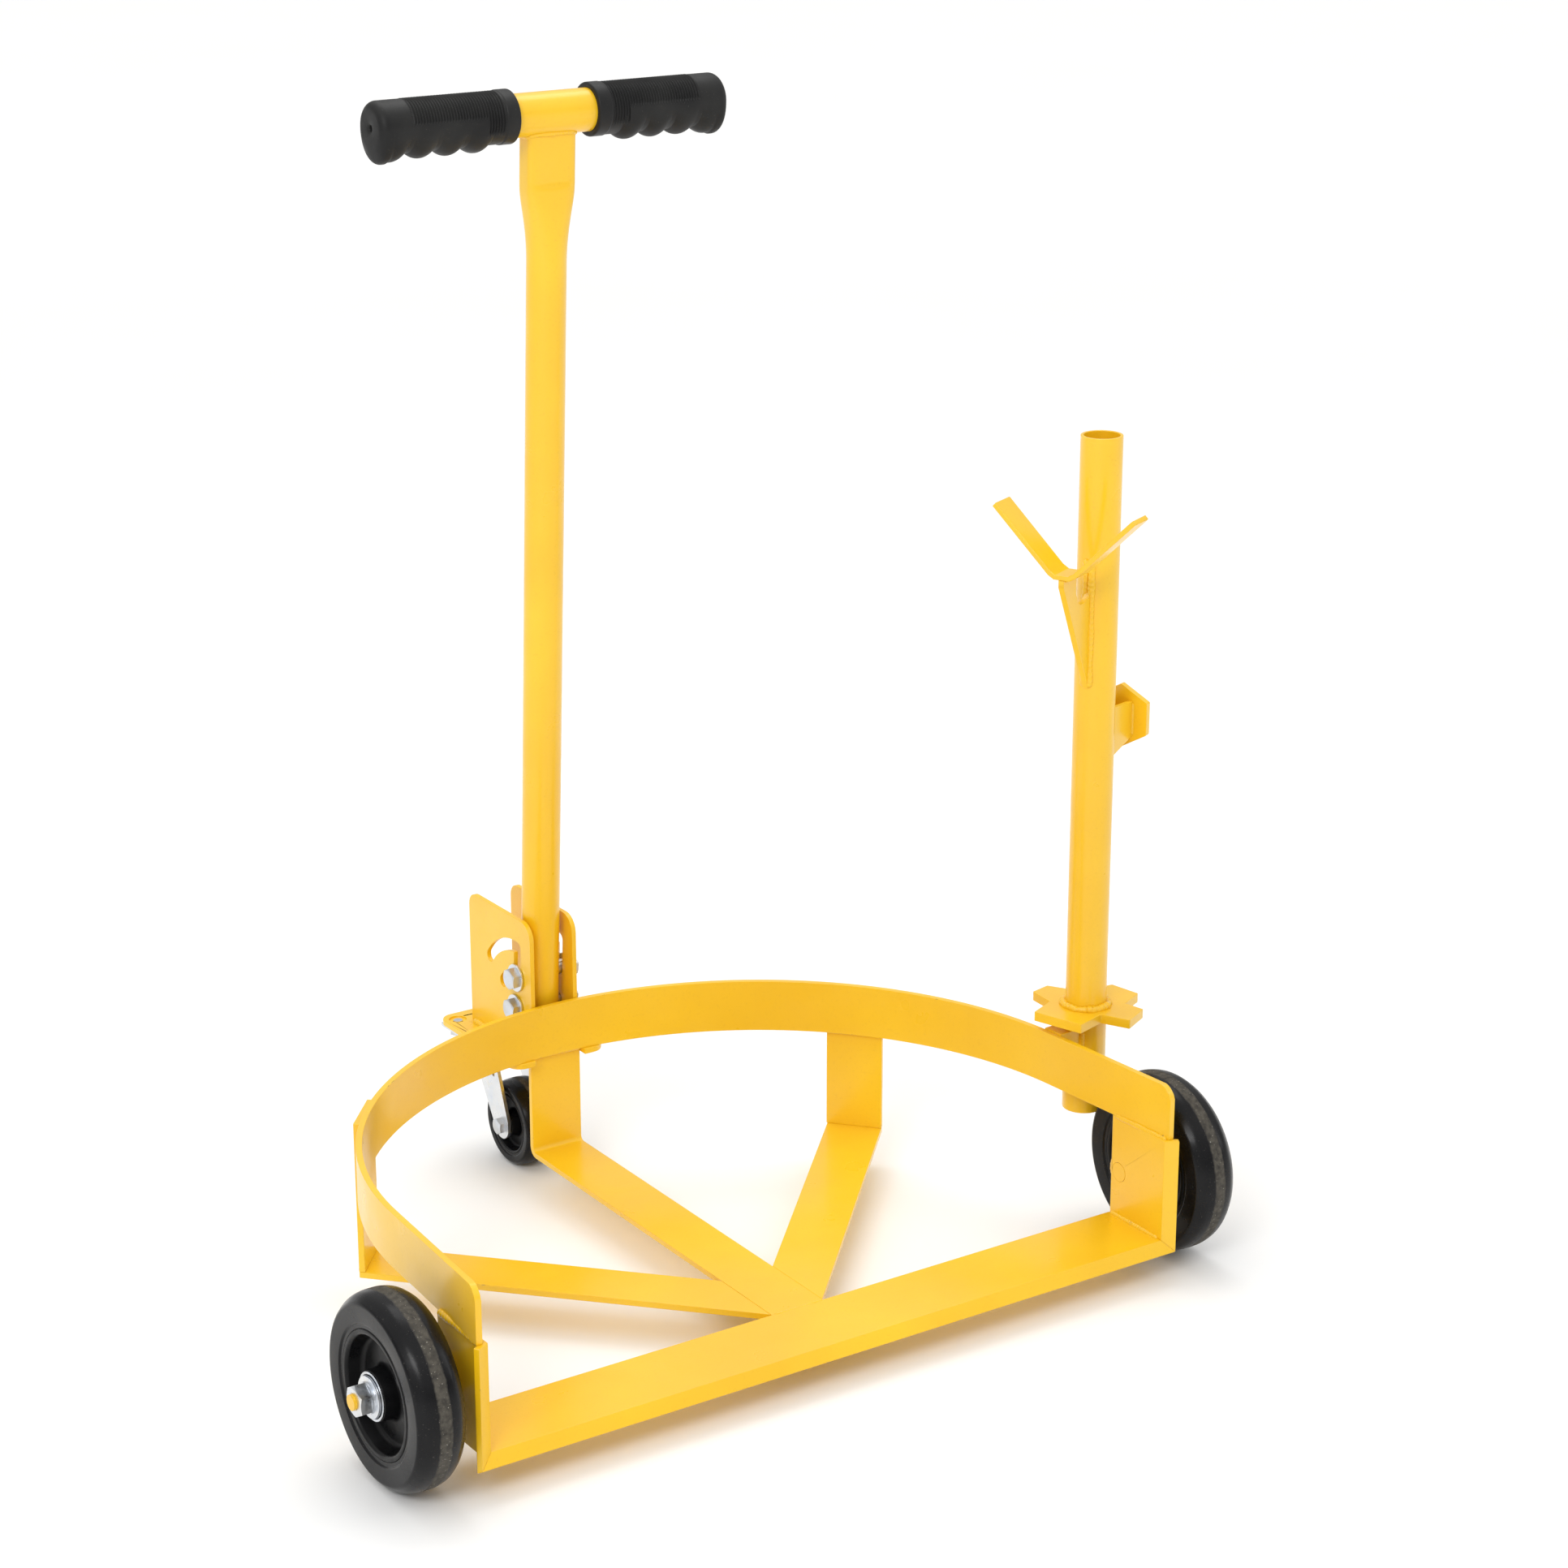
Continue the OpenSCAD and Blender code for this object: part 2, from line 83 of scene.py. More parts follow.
pivot = middle("pivot_bolt")
lock = middle("lock_bolt")
handle_up = Vector((0, lock.y - pivot.y, lock.z - pivot.z)).normalized()
handle_foot = Vector((mid_x, pivot.y, pivot.z))
handle_axes = Matrix((X, handle_up.cross(X).normalized(), handle_up)).transposed()
handle_frame = Matrix.Translation(handle_foot) @ handle_axes.to_4x4()
bolt_rise = (lock - pivot).length
cross_rise = (middle("handle_crossbar") - handle_foot).length
cross_radius = 17 * MM

tool_axis = middle("tool_tube")
tool_foot = Vector((tool_axis.x, tool_axis.y, 0))
tool_turn = math.radians(25.5)
tool_frame = Matrix.Translation(tool_foot) @ Matrix.Rotation(tool_turn, 4, "Z")
tool_radius = 17 * MM
caster_axle = middle("caster_tyre")
caster_radius = (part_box("caster_tyre")[1].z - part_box("caster_tyre")[0].z) / 2


# ---------- camera, floor and light ----------


CAMERA_LENS, CAMERA_SENSOR = 81.9, 36
CAMERA_FROM_RING = Vector((-1.404, -2.125, 1.298))
CAMERA_AIM = Vector((0.5295, 0.7871, -0.3164))


def make_camera():
    """The camera in front of the left wheel, looking down at the ring."""
    data = bpy.data.cameras.new("camera")
    data.lens = CAMERA_LENS
    data.sensor_width = CAMERA_SENSOR
    camera = placed("camera", data)
    camera.location = ring_centre + CAMERA_FROM_RING
    camera.rotation_euler = CAMERA_AIM.to_track_quat("-Z", "Y").to_euler()
    bpy.context.scene.camera = camera


def area_light(name, place, aim, size, power):
    """A rectangular lamp at place, turned towards aim, with its power in watts."""
    data = bpy.data.lights.new(name, "AREA")
    data.shape = "RECTANGLE"
    data.size, data.size_y = size
    data.energy = power
    lamp = placed(name, data)
    lamp.location = place
    lamp.rotation_euler = (Vector(aim) - Vector(place)).to_track_quat("-Z", "Y").to_euler()


SKY_LOW, SKY_HIGH, HORIZON = 0.24, 1.08, 0.85
SKY_SPAN = (0.05, 0.75, SKY_LOW, SKY_HIGH)
HAZE_SPAN = (0.08, 0.20, HORIZON, SKY_LOW)


def make_light():
    """A sky that is dim low down and bright overhead, a pale band at the horizon, and three lamps."""
    world = bpy.data.worlds.new("studio")
    world.use_nodes = True
    tree = world.node_tree
    back = tree.nodes["Background"]
    place = tree.nodes.new("ShaderNodeTexCoord")
    parts = tree.nodes.new("ShaderNodeSeparateXYZ")
    sky = tree.nodes.new("ShaderNodeMapRange")
    haze = tree.nodes.new("ShaderNodeMapRange")
    most = tree.nodes.new("ShaderNodeMath")
    most.operation = "MAXIMUM"
    for node, span in ((sky, SKY_SPAN), (haze, HAZE_SPAN)):
        for index, value in enumerate(span, start=1):
            node.inputs[index].default_value = value
    tree.links.new(place.outputs["Generated"], parts.inputs[0])
    tree.links.new(parts.outputs["Z"], sky.inputs[0])
    tree.links.new(parts.outputs["Z"], haze.inputs[0])
    tree.links.new(sky.outputs[0], most.inputs[0])
    tree.links.new(haze.outputs[0], most.inputs[1])
    tree.links.new(most.outputs[0], back.inputs["Strength"])
    back.inputs["Color"].default_value = (1.0, 0.996, 0.988, 1)
    bpy.context.scene.world = world
    area_light("key", (-2.6, -2.0, 2.6), (0, 0, 0.3), (1.6, 1.0), 44)
    area_light("fill", (2.8, -1.8, 1.6), (0, 0, 0.4), (0.7, 1.8), 8)
    area_light("top", (0.4, 0.9, 3.0), (0, 0, 0.2), (2.2, 1.4), 20)
    bpy.context.scene.view_settings.view_transform = "Standard"


# ---------- procedural materials ----------


class Look:
    """A Principled material with short calls that add texture nodes in the piece's own space."""

    def __init__(self, name, **uniform):
        self.material = bpy.data.materials.new(name)
        self.material.use_nodes = True
        self.tree = self.material.node_tree
        self.shader = self.tree.nodes["Principled BSDF"]
        for socket, value in uniform.items():
            self.shader.inputs[socket.replace("_", " ")].default_value = value
        self.place = self.add("ShaderNodeTexCoord").outputs["Object"]

    def add(self, kind, **inputs):
        node = self.tree.nodes.new(kind)
        for socket, value in inputs.items():
            self.feed(node.inputs[socket], value)
        return node

    def feed(self, socket, value):
        """Links a node's output to a socket, or sets the socket to a plain value."""
        if isinstance(value, bpy.types.NodeSocket):
            self.tree.links.new(value, socket)
        else:
            socket.default_value = value

    def noise(self, scale, detail=3.0, stretch=(1, 1, 1)):
        """Noise from 0 to 1 with about scale features to the metre."""
        spread = self.add("ShaderNodeMapping", Vector=self.place, Scale=stretch)
        node = self.add("ShaderNodeTexNoise", Vector=spread.outputs[0], Scale=scale, Detail=detail)
        return node.outputs["Fac"]

    def ramp(self, value, low, high, start=0.0, end=1.0):
        """Value from low to high mapped to start to end, held beyond both."""
        node = self.add("ShaderNodeMapRange")
        node.clamp = True
        for index, item in enumerate((value, low, high, start, end)):
            self.feed(node.inputs[index], item)
        return node.outputs[0]

    def math(self, operation, first, second=0.0):
        node = self.add("ShaderNodeMath")
        node.operation = operation
        self.feed(node.inputs[0], first)
        self.feed(node.inputs[1], second)
        return node.outputs[0]

    def length(self, first, second):
        """Length of the flat vector (first, second)."""
        squares = self.math("MULTIPLY", first, first), self.math("MULTIPLY", second, second)
        return self.math("SQRT", self.math("ADD", *squares))

    def mix(self, factor, first, second):
        """The first colour where factor is 0, the second where it is 1."""
        node = self.add("ShaderNodeMix")
        node.data_type = "RGBA"
        self.feed(node.inputs[0], factor)
        self.feed(node.inputs[6], first)
        self.feed(node.inputs[7], second)
        return node.outputs[2]

    def axis(self, name):
        return self.add("ShaderNodeSeparateXYZ", Vector=self.place).outputs[name]

    def edges(self, reach):
        """About 0 on flat faces and 1 on sharp edges, reach metres wide."""
        near = self.add("ShaderNodeBevel", Radius=reach)
        near.samples = 4
        plain = self.add("ShaderNodeNewGeometry").outputs["True Normal"]
        dot = self.add("ShaderNodeVectorMath")
        dot.operation = "DOT_PRODUCT"
        self.feed(dot.inputs[0], near.outputs[0])
        self.feed(dot.inputs[1], plain)
        return self.ramp(dot.outputs["Value"], 0.995, 0.86)

    def bumps(self, *layers):
        """Bump layers as (height, distance in metres, strength), chained onto the shader's normal."""
        last = None
        for height, distance, strength in layers:
            node = self.add("ShaderNodeBump", Height=height, Distance=distance, Strength=strength)
            if last is not None:
                self.feed(node.inputs["Normal"], last)
            last = node.outputs["Normal"]
        self.feed(self.shader.inputs["Normal"], last)

    def finish(self, colour, roughness):
        """The material, once its colour and roughness are joined up."""
        self.feed(self.shader.inputs["Base Color"], colour)
        self.feed(self.shader.inputs["Roughness"], roughness)
        return self.material


def powder_paint(name, beads=False):
    """Glossy yellow powder coat: uneven film, fine orange peel, dust specks and chipped edges."""
    look = Look(name, Coat_Weight=0.35, Coat_Roughness=0.16, Specular_IOR_Level=0.5)
    thick, thin = (0.87, 0.505, 0.007, 1), (0.94, 0.575, 0.010, 1)
    film = look.mix(look.ramp(look.noise(7, 4), 0.35, 0.65), thick, thin)
    film = look.mix(look.ramp(look.noise(420, 2), 0.58, 0.75, 0, 0.22), film, (0.72, 0.39, 0.008, 1))
    rim = look.edges(1.1 * MM)
    worn = look.math("MULTIPLY", rim, look.ramp(look.noise(55, 3), 0.42, 0.7))
    film = look.mix(look.math("MULTIPLY", worn, 0.45), film, (0.62, 0.31, 0.010, 1))
    chips = look.math("MULTIPLY", rim, look.ramp(look.noise(140, 5), 0.665, 0.70))
    colour = look.mix(chips, film, (0.09, 0.075, 0.06, 1))
    roughness = look.ramp(look.noise(30, 4), 0.3, 0.7, 0.27, 0.40)
    peel = (look.noise(640, 2), 0.25 * MM, 0.22)
    under = (look.noise(260, 5), 0.9 * MM, 0.75) if beads else (look.noise(38, 2), 0.9 * MM, 0.16)
    look.bumps(under, peel)
    return look.finish(colour, roughness)


def zinc(name, tint, rough):
    """Bright zinc plate: faint blue and yellow bloom, wiped scratches and a little pitting."""
    look = Look(name, Metallic=1.0)
    bloom = look.mix(look.ramp(look.noise(60, 3), 0.4, 0.65), tint, (0.66, 0.70, 0.76, 1))
    bloom = look.mix(look.ramp(look.noise(95, 2), 0.6, 0.78, 0, 0.5), bloom, (0.80, 0.72, 0.55, 1))
    pits = look.noise(900, 4)
    colour = look.mix(look.ramp(pits, 0.66, 0.78, 0, 0.6), bloom, (0.25, 0.25, 0.25, 1))
    scratch = look.noise(300, 3, (1, 1, 0.08))
    look.bumps((scratch, 0.08 * MM, 0.35), (pits, 0.06 * MM, 0.3))
    return look.finish(colour, look.ramp(look.noise(150, 4), 0.3, 0.7, rough, rough + 0.18))


def rubber(name, shade, rough, grain):
    """Black moulded rubber: cloudy bloom, fine grain and scattered dust."""
    look = Look(name, Specular_IOR_Level=0.26)
    dark, pale = (shade, shade, shade * 1.05, 1), (shade * 2.6, shade * 2.6, shade * 2.5, 1)
    cloud = look.mix(look.ramp(look.noise(26, 5), 0.4, 0.75), dark, pale)
    dust = look.ramp(look.noise(1100, 3), 0.70, 0.76, 0, 0.55)
    colour = look.mix(dust, cloud, (0.16, 0.15, 0.13, 1))
    look.bumps((look.noise(grain, 3), 0.12 * MM, 0.35), (look.noise(70, 2), 0.4 * MM, 0.2))
    return look.finish(colour, look.ramp(look.noise(45, 5), 0.3, 0.7, rough, rough + 0.2))


def tread_rubber(name, centre, radius, half_strip):
    """Tyre rubber, glossy at the sides and scuffed grey and dusty along the middle of the tread."""
    look = Look(name, Specular_IOR_Level=0.20)
    dark, pale = (0.0035, 0.0035, 0.0042, 1), (0.010, 0.010, 0.011, 1)
    cloud = look.mix(look.ramp(look.noise(24, 5), 0.42, 0.75), dark, pale)
    off = look.math("ABSOLUTE", look.math("SUBTRACT", look.axis("X"), centre.x))
    off = look.math("ADD", off, look.math("MULTIPLY", look.noise(160, 4), 2.4 * MM))
    drop = look.math("SUBTRACT", look.axis("Z"), centre.z)
    reach = look.math("SUBTRACT", look.axis("Y"), centre.y)
    tread = radius - 3 * MM
    on_tread = look.ramp(look.length(drop, reach), tread - 2 * MM, tread)
    strip = look.math("MULTIPLY", look.ramp(off, half_strip + 2.2 * MM, half_strip + 0.6 * MM), on_tread)
    scuff = look.math("MULTIPLY", strip, look.ramp(look.noise(240, 6), 0.25, 0.65, 0.25, 0.9))
    colour = look.mix(scuff, cloud, (0.095, 0.086, 0.070, 1))
    grit = look.math("MULTIPLY", look.ramp(look.noise(760, 2), 0.69, 0.74), look.math("ADD", strip, 0.12))
    colour = look.mix(grit, colour, (0.42, 0.39, 0.34, 1))
    haze = look.ramp(look.noise(35, 5), 0.3, 0.7, 0.17, 0.34)
    grain = (look.noise(520, 4), 0.3 * MM, look.ramp(strip, 0, 1, 0.10, 0.6))
    look.bumps(grain, (look.noise(60, 2), 0.4 * MM, 0.15))
    return look.finish(colour, look.math("ADD", haze, look.math("MULTIPLY", strip, 0.38)))


def moulded_plastic(name):
    """Hard black wheel centre: slight flow marks and a semi-gloss skin."""
    look = Look(name, Specular_IOR_Level=0.18)
    flow = look.noise(40, 4, (1, 1, 0.4))
    dark, pale = (0.0025, 0.0025, 0.003, 1), (0.007, 0.007, 0.0075, 1)
    colour = look.mix(look.ramp(flow, 0.35, 0.7), dark, pale)
    look.bumps((look.noise(700, 3), 0.08 * MM, 0.3), (flow, 0.3 * MM, 0.2))
    return look.finish(colour, look.ramp(look.noise(90, 4), 0.3, 0.7, 0.24, 0.42))


def bronze(name):
    """Sintered bronze: oily brown patches and open pores."""
    look = Look(name, Metallic=0.9)
    pores = look.noise(1300, 3)
    brown, tan = (0.34, 0.19, 0.07, 1), (0.46, 0.29, 0.12, 1)
    patch = look.mix(look.ramp(look.noise(80, 4), 0.35, 0.7), brown, tan)
    colour = look.mix(look.ramp(pores, 0.6, 0.72), patch, (0.08, 0.045, 0.02, 1))
    look.bumps((pores, 0.1 * MM, 0.5))
    return look.finish(colour, look.ramp(pores, 0.3, 0.7, 0.35, 0.55))


def pale_floor(name):
    """Studio floor: near-white, hardly uneven, with a little glow far out where the lamps don't reach."""
    look = Look(name, Specular_IOR_Level=0.2, Emission_Color=(1, 1, 1, 1))
    glow = look.ramp(look.length(look.axis("X"), look.axis("Y")), 1.3, 5.5, 0.0, 0.15)
    look.feed(look.shader.inputs["Emission Strength"], glow)
    colour = look.mix(look.noise(1.5, 3), (0.93, 0.93, 0.925, 1), (0.96, 0.96, 0.955, 1))
    look.bumps((look.noise(220, 3), 0.1 * MM, 0.1))
    return look.finish(colour, look.ramp(look.noise(4, 3), 0.3, 0.7, 0.65, 0.8))


paint = powder_paint("yellow_powder_coat")
bead_paint = powder_paint("yellow_over_weld", beads=True)
zinc_plate = zinc("zinc_plate", (0.74, 0.75, 0.76, 1), 0.24)
zinc_bolt = zinc("zinc_bolt", (0.62, 0.63, 0.64, 1), 0.30)
bearing_steel = zinc("bearing_steel", (0.52, 0.52, 0.52, 1), 0.14)
grip_rubber = rubber("grip_rubber", 0.0070, 0.40, 800)
wheel_plastic = moulded_plastic("wheel_plastic")
bush_bronze = bronze("bush_bronze")
caster_rubber = tread_rubber("caster_rubber", caster_axle, caster_radius, 3 * MM)
tyre_rubber = {
    side: tread_rubber(f"{side}_tyre_rubber", wheels[side], wheel_radius, 4.6 * MM) for side in wheels
}


# ---------- mesh helpers ----------


def piece(name, body, material, slot, faces, verts, sharp=35.0):
    """A new visible mesh piece that rides on a CAD body, smooth except at edges over sharp degrees."""
    mesh = bpy.data.meshes.new(name)
    mesh.from_pydata([tuple(v) for v in verts], [], faces)
    mesh.validate()
    made = placed(name, mesh)
    tidy_normals(made, sharp)
    mesh.materials.append(material)
    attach(made, body)
    return made


def tidy_normals(made, sharp):
    """Welds equal points, turns every face outwards and shades smooth up to sharp degrees."""
    bm = bmesh.new()
    bm.from_mesh(made.data)
    bmesh.ops.remove_doubles(bm, verts=bm.verts, dist=1e-7)
    bmesh.ops.recalc_face_normals(bm, faces=bm.faces)
    bm.to_mesh(made.data)
    bm.free()
    made.data.shade_smooth()
    made.data.set_sharp_from_angle(angle=math.radians(sharp))


def skin(rings, closed=False):
    """Faces over equal rings of points, as (faces, points). Ends are capped unless the rings close."""
    count = len(rings[0])
    points = [p for ring in rings for p in ring]
    faces = []
    spans = len(rings) if closed else len(rings) - 1
    for i in range(spans):
        a, b = i * count, ((i + 1) % len(rings)) * count
        faces += [(a + j, a + (j + 1) % count, b + (j + 1) % count, b + j) for j in range(count)]
    if not closed:
        faces.append(tuple(range(count)))
        faces.append(tuple(range((len(rings) - 1) * count, len(rings) * count)))
    return faces, points


def circle(first, second, count):
    """Unit directions all the way round, from first towards second, count of them."""
    turns = [math.tau * i / count for i in range(count)]
    return [first * math.cos(a) + second * math.sin(a) for a in turns]


def joined(*shapes):
    """Several (faces, points) as one."""
    faces, points = [], []
    for more_faces, more_points in shapes:
        start = len(points)
        faces += [tuple(start + i for i in face) for face in more_faces]
        points += more_points
    return faces, points


def rounded(outline):
    """An open outline of (a, b, fillet) in mm, with each corner rounded, in metres."""
    steps = 5
    made = [Vector(outline[0][:2])]
    for before, corner, after in zip(outline, outline[1:], outline[2:]):
        here, fillet = Vector(corner[:2]), corner[2]
        back, ahead = Vector(before[:2]) - here, Vector(after[:2]) - here
        cut = min(fillet, back.length * 0.48, ahead.length * 0.48)
        start, end = here + back.normalized() * cut, here + ahead.normalized() * cut
        for i in range(steps + 1):
            t = i / steps
            made.append(start * (1 - t) ** 2 + here * 2 * t * (1 - t) + end * t * t)
    made.append(Vector(outline[-1][:2]))
    return [p * MM for p in made]


def turned(centre, outline, segments=128):
    """A closed outline of (radius, x) in metres turned about an axle along X."""
    rays = circle(Y, Z, segments)
    rings = [[centre + X * x + ray * radius for ray in rays] for radius, x in outline]
    return skin(rings, closed=True)


def both_sides(half):
    """Half of a wheel's outline, from bore to tread on the -x side, with its mirror image added."""
    return half + [Vector((p.x, -p.y)) for p in reversed(half)]


def hex_block(start, out, size, height, bore=0.0, up=Z):
    """A hexagon block with its outer corners chamfered by a cone, as on bolt heads and nuts.

    start is the middle of the seat, out the direction it stands in, size the width across flats.
    A bore gets a lead-in at its mouth."""
    side = out.cross(up).normalized()
    flat = size / 2
    face = flat * 0.94
    slope = math.tan(math.radians(30))
    lead, flare = 0.4 * MM, 1.12
    seat, rim, crown, wide_mouth, mouth, inner = [], [], [], [], [], []
    count = 72
    for i, ray in enumerate(circle(up, side, count)):
        reach = flat / math.cos((math.tau * i / count) % (math.pi / 3) - math.pi / 6)
        drop = max(0.0, reach - face) * slope
        seat.append(start + ray * reach)
        rim.append(start + out * (height - drop) + ray * reach)
        crown.append(start + out * height + ray * face)
        wide_mouth.append(start + out * height + ray * (bore * flare or face * 0.5))
        mouth.append(start + out * (height - lead) + ray * bore)
        inner.append(start + ray * bore)
    if bore:
        return skin([seat, rim, crown, wide_mouth, mouth, inner], closed=True)
    return skin([seat, rim, crown, wide_mouth])


def disc(start, out, radius, bore, thick, edge=0.35 * MM, count=72):
    """A washer or plain disc with rounded edges, standing from start along out."""
    side = out.cross(Z).normalized() if abs(out.z) < 0.9 else X
    up = side.cross(out)
    nip = edge * 0.3
    outline = [
        (bore, 0), (radius - edge, 0), (radius - nip, nip), (radius, edge),
        (radius, thick - edge), (radius - nip, thick - nip), (radius - edge, thick),
        (bore + edge, thick), (bore, thick - edge),
    ]  # fmt: skip
    rays = circle(up, side, count)
    return skin([[start + out * h + ray * r for ray in rays] for r, h in outline], closed=True)


def threaded(start, out, radius, length, pitch):
    """The end of a bolt: a helical ridge of triangular thread, and a chamfered tip."""
    side = out.cross(Z).normalized()
    rays = circle(side.cross(out), side, 48)
    steps = max(6, round(length / pitch * 6))
    depth, chamfer, tip = 0.55 * pitch, 0.9 * MM, 0.84
    rings = []
    for k in range(steps + 1):
        along = length * k / steps
        taper = tip + (1 - tip) * min(1.0, (length - along) / chamfer)
        ring = []
        for i, ray in enumerate(rays):
            turn = (along / pitch - i / len(rays)) % 1.0
            ridge = abs(turn - 0.5) * 2
            ring.append(start + out * along + ray * (radius - depth * ridge) * taper)
        rings.append(ring)
    return skin(rings)


def bead(path, radius, seed, closed=False, ripple=2.6 * MM):
    """A weld bead along a path: a round cord with the overlapping scallops that each puddle leaves."""
    rng = random.Random(seed)
    phase = [rng.uniform(0, math.tau) for _ in range(3)]
    step, sides = 0.55 * MM, 14
    points = resampled(path, step, closed)
    rings = []
    last = None
    for i, here in enumerate(points):
        after = points[(i + 1) % len(points)] if closed or i < len(points) - 1 else here
        before = points[i - 1] if closed or i > 0 else here
        ahead = (after - before).normalized()
        if last is None:
            last = ahead.orthogonal().normalized()
        last = (last - ahead * last.dot(ahead)).normalized()
        other = ahead.cross(last)
        s = i * step
        puddle = abs(math.sin(math.pi * s / ripple + phase[0]))
        wander = 0.10 * math.sin(s / (7 * MM) + phase[1]) + 0.06 * math.sin(s / (2.9 * MM) + phase[2])
        r = radius * (0.86 + 0.16 * puddle + wander)
        if not closed:
            end = min(i, len(points) - 1 - i) * step / (radius * 1.2)
            r *= math.sqrt(max(0.02, 1 - max(0.0, 1 - end) ** 2))
        rings.append([here + ray * r for ray in circle(last, other, sides)])
    return skin(rings, closed=closed)


def seam(ends, radius, seed, ripple=2.6 * MM):
    """A straight weld bead between ends of (x, y, z)."""
    return bead([Vector(end) for end in ends], radius, seed, ripple=ripple)


def resampled(path, step, closed):
    """Points about step apart along a path of straight spans."""
    ends = path + path[:1] if closed else path
    made = []
    for a, b in zip(ends, ends[1:]):
        count = max(1, round((b - a).length / step))
        made += [a.lerp(b, i / count) for i in range(count)]
    if not closed:
        made.append(ends[-1])
    return made


def soften(name, width):
    """Rounds the edges of a shown CAD node with modifiers, its own mesh left as it is."""
    node = nodes[name]
    weld = node.modifiers.new("weld", "WELD")
    weld.merge_threshold = 1e-6
    bevel = node.modifiers.new("bevel", "BEVEL")
    bevel.width = width
    bevel.segments = 2
    bevel.limit_method = "ANGLE"
    bevel.angle_limit = math.radians(28)
    bevel.use_clamp_overlap = True
    shade = node.modifiers.new("shade", "WEIGHTED_NORMAL")
    shade.keep_sharp = False
    shade.weight = 60


def dress(name, material):
    """Gives a CAD node its procedural material."""
    mesh = nodes[name].data
    if not mesh.materials:
        mesh.materials.append(material)
    for index in range(len(mesh.materials)):
        mesh.materials[index] = material


# ---------- materials of the CAD nodes ----------

PAINTED = [
    "ring_band", "front_crossbar", "left_side_plate", "right_side_plate", "center_spoke", "left_spoke",
    "right_spoke", "bracket_base_plate", "left_bracket_plate", "right_bracket_plate", "bracket_welds",
    "tool_socket", "socket_spacer", "left_axle", "right_axle", "handle_tube", "handle_crossbar",
    "tool_tube", "tool_peg", "star_plate", "star_weld", "fork_strip", "fork_gusset", "hex_plate", "hex_ribs",
]  # fmt: skip
ZINCED = [
    "left_axle_washer", "right_axle_washer", "left_axle_nut", "right_axle_nut", "caster_top_plate",
    "caster_race", "caster_fork", "caster_axle_sleeve",
]  # fmt: skip
BOLTS = [
    "pivot_bolt", "pivot_nut", "lock_bolt", "lock_nut", "pivot_washers", "lock_washers", "caster_kingpin",
    "caster_plate_bolts", "caster_axle_bolt", "caster_axle_nut",
]  # fmt: skip
EDGE = {"ring_band": 0.9, "tool_tube": 0.5, "handle_crossbar": 0.4, "star_plate": 0.9, "hex_plate": 0.8}
CRISP = {"caster_race", "caster_balls", "caster_fork"}


def dress_nodes():
    """Materials for every CAD node, and rounded edges for those that stay in view."""
    for name in PAINTED:
        dress(name, paint)
        soften(name, EDGE.get(name, 0.7) * MM)
    for name in ZINCED:
        dress(name, zinc_plate)
        if name not in CRISP:
            soften(name, 0.3 * MM)
    for name in BOLTS:
        dress(name, zinc_bolt)
        soften(name, 0.25 * MM)
    dress("caster_balls", bearing_steel)
    for side in wheels:
        dress(f"{side}_wheel_bush", bush_bronze)
        soften(f"{side}_wheel_bush", 0.2 * MM)
        dress(f"{side}_tyre", tyre_rubber[side])
        dress(f"{side}_wheel_rim", wheel_plastic)
        dress(f"{side}_grip", grip_rubber)
    dress("caster_tyre", caster_rubber)
    dress("caster_wheel_core", wheel_plastic)


# ---------- wheels ----------


def make_front_wheel(side):
    """The moulded tyre, the wheel centre inside it, and the steel rings at the ends of its hub."""
    centre = wheels[side]
    body = f"{side}_wheel"
    tyre = both_sides(rounded([
        (49.2, -13, 0), (49.2, -17.6, 0.7), (52.4, -17.6, 0.5), (53.4, -19.0, 0.8), (66.8, -19.5, 0.9),
        (68.6, -18.4, 1.2), (73.4, -12.6, 5), (74.9, -5.5, 5), (75.0, -0.6, 0),
    ]))  # fmt: skip
    shape = turned(centre, tyre, 160)
    made = piece(f"{side}_tyre_moulded", body, tyre_rubber[side], "tyre_rubber", *shape, sharp=50)
    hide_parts(f"{side}_tyre")
    rim = both_sides(rounded([
        (11.1, -19.2, 0), (11.9, -20, 0.4), (16.4, -20, 0.3), (16.4, -19.4, 0.2), (18.9, -19.4, 0.9),
        (20.2, -5.5, 3.4), (41.6, -4.2, 4.0), (44.2, -16.4, 1.0), (45.6, -18.1, 1.4), (48.8, -18.1, 1.2),
        (49.5, -16.5, 0.6), (49.5, -4.0, 0),
    ]))  # fmt: skip
    shape = turned(centre, rim, 160)
    made = piece(f"{side}_rim_moulded", body, wheel_plastic, "wheel_core", *shape, sharp=50)
    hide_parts(f"{side}_wheel_rim")
    seat, radius, bore, thick = 18.9 * MM, 18.5 * MM, 16.5 * MM, 1.5 * MM
    rings = [disc(centre + X * out * seat, X * out, radius, bore, thick, 0.25 * MM, 96) for out in (-1, 1)]
    piece(f"{side}_hub_rings", body, bearing_steel, "bearing_steel", *joined(*rings))


